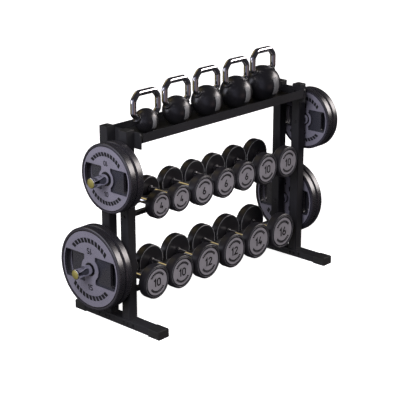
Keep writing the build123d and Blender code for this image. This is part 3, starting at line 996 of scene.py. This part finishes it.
def add_backdrop():
    """Plain white dome behind everything, which only the camera sees."""
    shape = bmesh.new()
    bmesh.ops.create_icosphere(shape, subdivisions=4, radius=DOME_RADIUS)
    mesh = bpy.data.meshes.new("backdrop")
    shape.to_mesh(mesh)
    shape.free()
    dome = bpy.data.objects.new("backdrop", mesh)
    bpy.context.scene.collection.objects.link(dome)
    material, tree, shader, vector = new_material("backdrop white")
    shader.inputs["Base Color"].default_value = (0, 0, 0, 1)
    shader.inputs["Emission Color"].default_value = (1, 1, 1, 1)
    shader.inputs["Emission Strength"].default_value = 1.05
    mesh.materials.append(material)
    dome.visible_glossy = False
    dome.visible_diffuse = False
    dome.visible_shadow = False
    dome.visible_transmission = False


def add_fill():
    """Square soft light on the left and front, which the chrome and the balls don't mirror."""
    data = bpy.data.lights.new("left fill", "AREA")
    data.shape = "SQUARE"
    data.size = FILL_SIZE
    data.energy = FILL_POWER
    data.color = FILL_COLOUR
    lamp = bpy.data.objects.new("left fill", data)
    bpy.context.scene.collection.objects.link(lamp)
    away = back_vector(FILL_AZIMUTH, FILL_ELEVATION)
    lamp.location = STUDIO_MIDDLE + away * FILL_DISTANCE
    lamp.rotation_euler = (-away).to_track_quat("-Z", "Y").to_euler()
    lamp.visible_camera = False
    lamp.visible_glossy = False


def ramp_between(tree, value, low, high, first=0.0, second=1.0):
    """Smooth step from one value to another."""
    node = node_of(
        tree,
        "ShaderNodeMapRange",
        {"From Min": low, "From Max": high, "To Min": first, "To Max": second},
        interpolation_type="SMOOTHSTEP",
    )
    link(tree, value, node.inputs["Value"])
    return node.outputs["Result"]


def add_glow(tree, direction, elevation, total, glow):
    """Add a soft-edged bright patch of the studio to the light so far."""
    azimuth, half_width, low, high, softness, colour = glow
    middle = math.radians(azimuth)
    dots = []
    for axis in ((math.cos(middle), -math.sin(middle), 0), (math.sin(middle), math.cos(middle), 0)):
        dot = node_of(tree, "ShaderNodeVectorMath", operation="DOT_PRODUCT")
        dot.inputs[1].default_value = axis
        link(tree, direction, dot.inputs[0])
        dots.append(dot.outputs["Value"])
    away = math_of(tree, "ABSOLUTE", math_of(tree, "ARCTAN2", dots[0], dots[1]))
    soft = math.radians(softness)
    half = math.radians(half_width)
    across = ramp_between(tree, away, half - soft, half + soft, 1.0, 0.0)
    above = ramp_between(tree, elevation, math.radians(low) - soft, math.radians(low) + soft)
    below = ramp_between(tree, elevation, math.radians(high) - soft, math.radians(high) + soft, 1.0, 0.0)
    mask = math_of(tree, "MULTIPLY", across, math_of(tree, "MULTIPLY", above, below))
    added = node_of(tree, "ShaderNodeVectorMath", operation="MULTIPLY_ADD")
    added.inputs[1].default_value = colour
    link(tree, mask, added.inputs[0])
    link(tree, total, added.inputs[2])
    return added.outputs["Vector"]


def add_world():
    """Dim studio with soft bright panels, which is what the chrome reflects."""
    world = bpy.data.worlds.new("studio")
    bpy.context.scene.world = world
    world.use_nodes = True
    tree = world.node_tree
    tree.nodes.clear()
    output = node_of(tree, "ShaderNodeOutputWorld")
    direction = node_of(tree, "ShaderNodeTexCoord").outputs["Generated"]
    parts = node_of(tree, "ShaderNodeSeparateXYZ")
    link(tree, direction, parts.inputs["Vector"])
    elevation = math_of(tree, "ARCSINE", parts.outputs["Z"])
    base = node_of(tree, "ShaderNodeCombineXYZ", dict(zip("XYZ", STUDIO_DIM)))
    total = base.outputs["Vector"]
    for glow in STUDIO_GLOWS:
        total = add_glow(tree, direction, elevation, total, glow)
    light = node_of(tree, "ShaderNodeBackground", {"Strength": 1.0})
    link(tree, total, light.inputs["Color"])
    link(tree, light.outputs["Background"], output.inputs["Surface"])


def set_view():
    """Plain colour handling, so that whites stay white."""
    settings = bpy.context.scene.view_settings
    settings.view_transform = "Standard"
    settings.look = "None"
    settings.exposure = 0.0


paint_frame()
dress_dumbbells()
dress_plates()
dress_kettlebells()
dress_horns()
add_camera()
add_floor()
add_backdrop()
add_world()
add_fill()
set_view()
